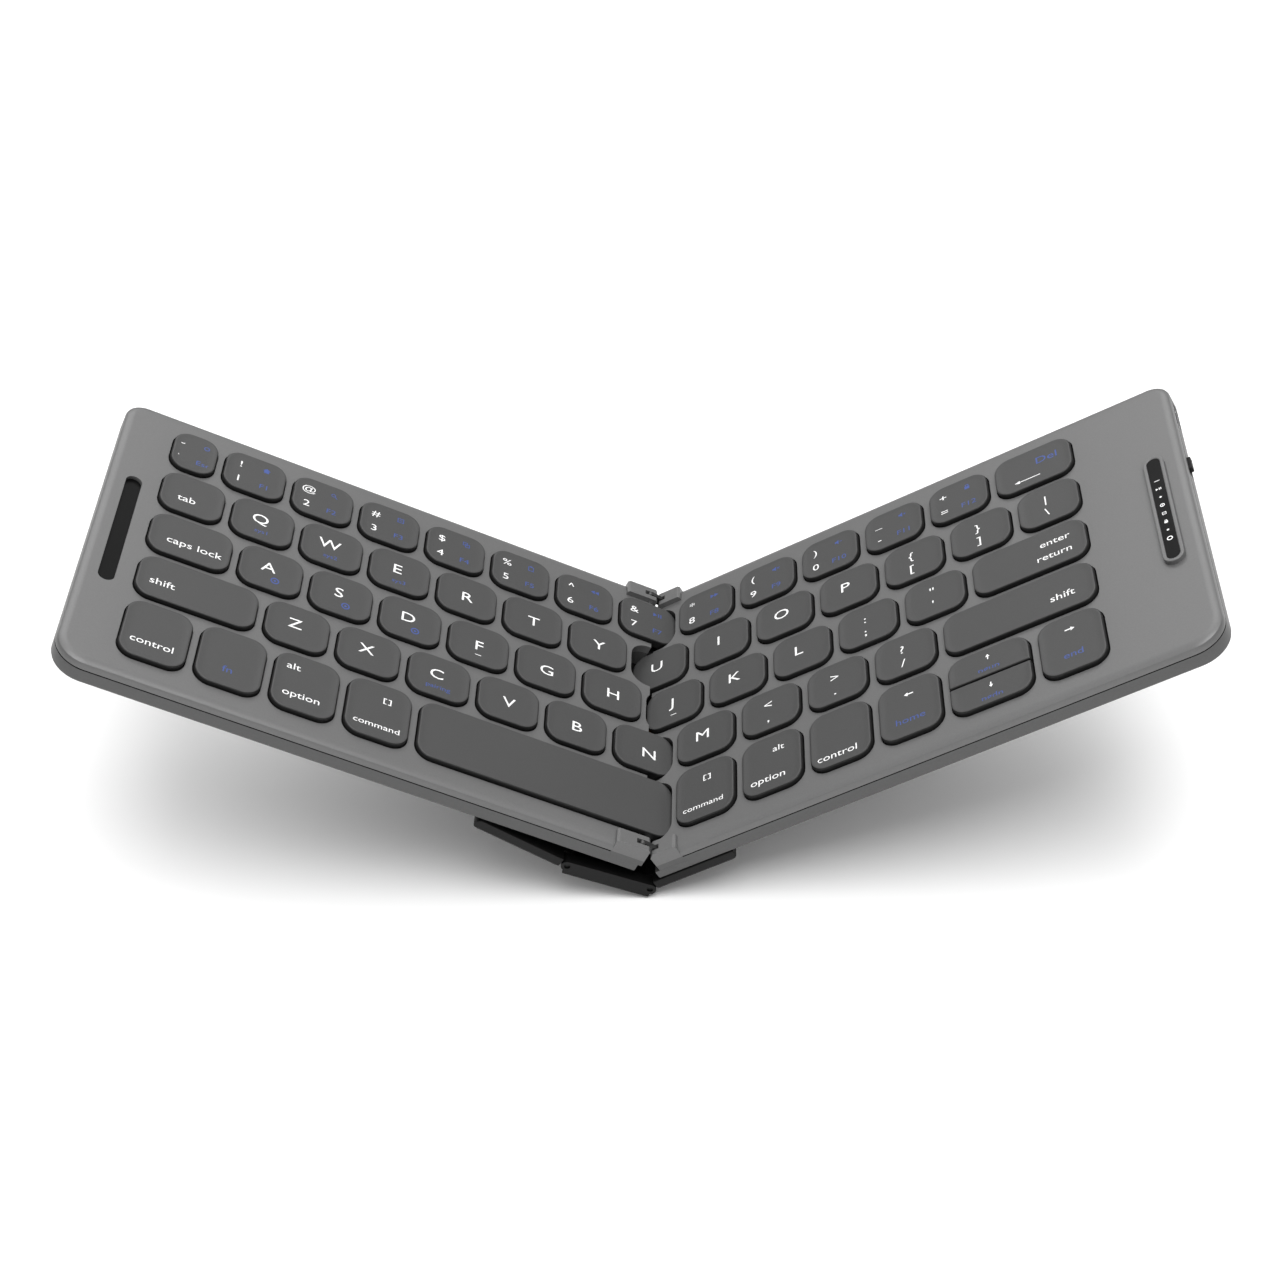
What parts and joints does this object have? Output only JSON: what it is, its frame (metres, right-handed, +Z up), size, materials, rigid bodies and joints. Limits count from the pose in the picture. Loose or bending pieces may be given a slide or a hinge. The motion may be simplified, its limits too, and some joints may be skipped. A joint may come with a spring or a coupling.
{
  "type": "folding keyboard",
  "caption": "Thin two-leaf keyboard that folds face to face on a double-pin link hinge, with scissor keys, a status bar, a charging socket and a sliding three-piece spine cover.",
  "frame": {"origin": "centre of the bounding box, at its lowest level: the outer corner of the spine channel that the keyboard stands on", "axes": "+X to the right along the keyboard, +Y from the typist to the rear, +Z up; the fold line runs along Y"},
  "size_m": [0.2626, 0.098, 0.0801],
  "materials": {
    "case": "satin",
    "keycap": "satin",
    "black_trim": "satin",
    "window": "gloss",
    "steel": "satin",
    "film": "satin",
    "dome": "matt",
    "scissor": "satin",
    "cell": "satin",
    "board": "satin",
    "ribbon": "satin",
    "foot": "matt"
  },
  "bodies": {
    "left_leaf": {"left_top_case": "case", "left_bottom_case": "case", "left_support_plate": "steel", "left_switch_film": "film", "left_domes": "dome", "left_scissors": "scissor", "battery": "cell", "left_slot_strip": "window", "left_feet": "foot", "left_hinge_blocks": "case", "left_hinge_pins": "steel", "left_screws": "steel", "flex_ribbon": "ribbon"},
    "hinge_link": {"hinge_links": "steel", "fold_pins": "steel"},
    "right_leaf": {"right_top_case": "case", "right_bottom_case": "case", "right_support_plate": "steel", "right_switch_film": "film", "right_domes": "dome", "right_scissors": "scissor", "main_board": "board", "status_bezel": "case", "status_window": "window", "charging_socket": "steel", "right_feet": "foot", "right_hinge_blocks": "case", "right_screws": "steel", "right_wing": "black_trim"},
    "power_knob": {"power_knob": "black_trim"},
    "spine_pin": {"spine_pin": "steel"},
    "spine_bar": {"spine_bar": "black_trim"},
    "wing_pin": {"wing_pin": "steel"},
    "left_wing": {"left_wing": "black_trim"},
    "left_digit_keys": {"left_digit_keys": "keycap"},
    "left_upper_keys": {"left_upper_keys": "keycap"},
    "left_home_keys": {"left_home_keys": "keycap"},
    "left_lower_keys": {"left_lower_keys": "keycap"},
    "tab_key": {"tab_key": "keycap"},
    "caps_key": {"caps_key": "keycap"},
    "left_shift_key": {"left_shift_key": "keycap"},
    "space_key": {"space_key": "keycap"},
    "left_command_key": {"left_command_key": "keycap"},
    "left_option_key": {"left_option_key": "keycap"},
    "fn_key": {"fn_key": "keycap"},
    "left_control_key": {"left_control_key": "keycap"},
    "right_digit_keys": {"right_digit_keys": "keycap"},
    "right_upper_keys": {"right_upper_keys": "keycap"},
    "right_home_keys": {"right_home_keys": "keycap"},
    "right_lower_keys": {"right_lower_keys": "keycap"},
    "delete_key": {"delete_key": "keycap"},
    "enter_key": {"enter_key": "keycap"},
    "right_shift_key": {"right_shift_key": "keycap"},
    "right_command_key": {"right_command_key": "keycap"},
    "right_option_key": {"right_option_key": "keycap"},
    "right_control_key": {"right_control_key": "keycap"},
    "left_arrow_key": {"left_arrow_key": "keycap"},
    "up_arrow_key": {"up_arrow_key": "keycap"},
    "down_arrow_key": {"down_arrow_key": "keycap"},
    "right_arrow_key": {"right_arrow_key": "keycap"}
  },
  "joints": [
    {"name": "link_swing", "type": "hinge", "parent": "left_leaf", "child": "hinge_link", "pos_m": [-0.00104, 0, 0.01562], "axis": [0, -1, 0], "range_deg": [0, 125.54], "deforming": ["flex_ribbon"]},
    {"name": "leaf_open", "type": "hinge", "parent": "hinge_link", "child": "right_leaf", "pos_m": [0.00211, 0, 0.01344], "axis": [0, -1, 0], "range_deg": [-54.46, 0]},
    {"name": "spine_pin_turn", "type": "hinge", "parent": "right_leaf", "child": "spine_pin", "pos_m": [0.00009, 0, 0.00295], "axis": [0, -1, 0], "range_deg": [-0.1, 50.46]},
    {"name": "spine_turn", "type": "hinge", "parent": "spine_pin", "child": "spine_bar", "pos_m": [0.00009, 0, 0.00295], "axis": [0, -1, 0], "range_deg": [-39.94, 0.1]},
    {"name": "wing_pin_turn", "type": "hinge", "parent": "spine_bar", "child": "wing_pin", "pos_m": [-0.01913, 0, 0.01112], "axis": [0, -1, 0], "range_deg": [-0.1, 12.57]},
    {"name": "left_wing_turn", "type": "hinge", "parent": "wing_pin", "child": "left_wing", "pos_m": [-0.01913, 0, 0.01112], "axis": [0, -1, 0], "range_deg": [-77.83, 0.1]},
    {"name": "left_digit_keys_press", "type": "slide", "parent": "left_leaf", "child": "left_digit_keys", "axis": [-0.4576, 0, -0.8892], "range_m": [0, 0.0012], "stiffness_N_per_m": 350, "springref_m": -0.0005},
    {"name": "left_upper_keys_press", "type": "slide", "parent": "left_leaf", "child": "left_upper_keys", "axis": [-0.4576, 0, -0.8892], "range_m": [0, 0.0012], "stiffness_N_per_m": 350, "springref_m": -0.0005},
    {"name": "left_home_keys_press", "type": "slide", "parent": "left_leaf", "child": "left_home_keys", "axis": [-0.4576, 0, -0.8892], "range_m": [0, 0.0012], "stiffness_N_per_m": 350, "springref_m": -0.0005, "deforming": ["left_domes", "left_scissors"]},
    {"name": "left_lower_keys_press", "type": "slide", "parent": "left_leaf", "child": "left_lower_keys", "axis": [-0.4576, 0, -0.8892], "range_m": [0, 0.0012], "stiffness_N_per_m": 350, "springref_m": -0.0005},
    {"name": "tab_key_press", "type": "slide", "parent": "left_leaf", "child": "tab_key", "axis": [-0.4576, 0, -0.8892], "range_m": [0, 0.0012], "stiffness_N_per_m": 350, "springref_m": -0.0005},
    {"name": "caps_key_press", "type": "slide", "parent": "left_leaf", "child": "caps_key", "axis": [-0.4576, 0, -0.8892], "range_m": [0, 0.0012], "stiffness_N_per_m": 350, "springref_m": -0.0005},
    {"name": "left_shift_key_press", "type": "slide", "parent": "left_leaf", "child": "left_shift_key", "axis": [-0.4576, 0, -0.8892], "range_m": [0, 0.0012], "stiffness_N_per_m": 350, "springref_m": -0.0005},
    {"name": "space_key_press", "type": "slide", "parent": "left_leaf", "child": "space_key", "axis": [-0.4576, 0, -0.8892], "range_m": [0, 0.0012], "stiffness_N_per_m": 350, "springref_m": -0.0005},
    {"name": "left_command_key_press", "type": "slide", "parent": "left_leaf", "child": "left_command_key", "axis": [-0.4576, 0, -0.8892], "range_m": [0, 0.0012], "stiffness_N_per_m": 350, "springref_m": -0.0005},
    {"name": "left_option_key_press", "type": "slide", "parent": "left_leaf", "child": "left_option_key", "axis": [-0.4576, 0, -0.8892], "range_m": [0, 0.0012], "stiffness_N_per_m": 350, "springref_m": -0.0005},
    {"name": "fn_key_press", "type": "slide", "parent": "left_leaf", "child": "fn_key", "axis": [-0.4576, 0, -0.8892], "range_m": [0, 0.0012], "stiffness_N_per_m": 350, "springref_m": -0.0005},
    {"name": "left_control_key_press", "type": "slide", "parent": "left_leaf", "child": "left_control_key", "axis": [-0.4576, 0, -0.8892], "range_m": [0, 0.0012], "stiffness_N_per_m": 350, "springref_m": -0.0005},
    {"name": "right_digit_keys_press", "type": "slide", "parent": "right_leaf", "child": "right_digit_keys", "axis": [0.4576, 0, -0.8892], "range_m": [0, 0.0012], "stiffness_N_per_m": 350, "springref_m": -0.0005},
    {"name": "right_upper_keys_press", "type": "slide", "parent": "right_leaf", "child": "right_upper_keys", "axis": [0.4576, 0, -0.8892], "range_m": [0, 0.0012], "stiffness_N_per_m": 350, "springref_m": -0.0005},
    {"name": "right_home_keys_press", "type": "slide", "parent": "right_leaf", "child": "right_home_keys", "axis": [0.4576, 0, -0.8892], "range_m": [0, 0.0012], "stiffness_N_per_m": 350, "springref_m": -0.0005, "deforming": ["right_domes", "right_scissors"]},
    {"name": "right_lower_keys_press", "type": "slide", "parent": "right_leaf", "child": "right_lower_keys", "axis": [0.4576, 0, -0.8892], "range_m": [0, 0.0012], "stiffness_N_per_m": 350, "springref_m": -0.0005},
    {"name": "delete_key_press", "type": "slide", "parent": "right_leaf", "child": "delete_key", "axis": [0.4576, 0, -0.8892], "range_m": [0, 0.0012], "stiffness_N_per_m": 350, "springref_m": -0.0005},
    {"name": "enter_key_press", "type": "slide", "parent": "right_leaf", "child": "enter_key", "axis": [0.4576, 0, -0.8892], "range_m": [0, 0.0012], "stiffness_N_per_m": 350, "springref_m": -0.0005},
    {"name": "right_shift_key_press", "type": "slide", "parent": "right_leaf", "child": "right_shift_key", "axis": [0.4576, 0, -0.8892], "range_m": [0, 0.0012], "stiffness_N_per_m": 350, "springref_m": -0.0005},
    {"name": "right_command_key_press", "type": "slide", "parent": "right_leaf", "child": "right_command_key", "axis": [0.4576, 0, -0.8892], "range_m": [0, 0.0012], "stiffness_N_per_m": 350, "springref_m": -0.0005},
    {"name": "right_option_key_press", "type": "slide", "parent": "right_leaf", "child": "right_option_key", "axis": [0.4576, 0, -0.8892], "range_m": [0, 0.0012], "stiffness_N_per_m": 350, "springref_m": -0.0005},
    {"name": "right_control_key_press", "type": "slide", "parent": "right_leaf", "child": "right_control_key", "axis": [0.4576, 0, -0.8892], "range_m": [0, 0.0012], "stiffness_N_per_m": 350, "springref_m": -0.0005},
    {"name": "left_arrow_key_press", "type": "slide", "parent": "right_leaf", "child": "left_arrow_key", "axis": [0.4576, 0, -0.8892], "range_m": [0, 0.0012], "stiffness_N_per_m": 350, "springref_m": -0.0005},
    {"name": "up_arrow_key_press", "type": "slide", "parent": "right_leaf", "child": "up_arrow_key", "axis": [0.4576, 0, -0.8892], "range_m": [0, 0.0012], "stiffness_N_per_m": 350, "springref_m": -0.0005},
    {"name": "down_arrow_key_press", "type": "slide", "parent": "right_leaf", "child": "down_arrow_key", "axis": [0.4576, 0, -0.8892], "range_m": [0, 0.0012], "stiffness_N_per_m": 350, "springref_m": -0.0005},
    {"name": "right_arrow_key_press", "type": "slide", "parent": "right_leaf", "child": "right_arrow_key", "axis": [0.4576, 0, -0.8892], "range_m": [0, 0.0012], "stiffness_N_per_m": 350, "springref_m": -0.0005},
    {"name": "power_switch_slide", "type": "slide", "parent": "right_leaf", "child": "power_knob", "axis": [0, -1, 0], "range_m": [0, 0.0022]}
  ],
  "couplings": [
    {"joint": "spine_pin_turn", "follows": "leaf_open", "ratio": -0.92288},
    {"joint": "wing_pin_turn", "follows": "leaf_open", "ratio": -0.22715},
    {"joint": "spine_turn", "follows": "link_swing", "ratio": -0.31655},
    {"joint": "left_wing_turn", "follows": "link_swing", "ratio": -0.61836}
  ]
}
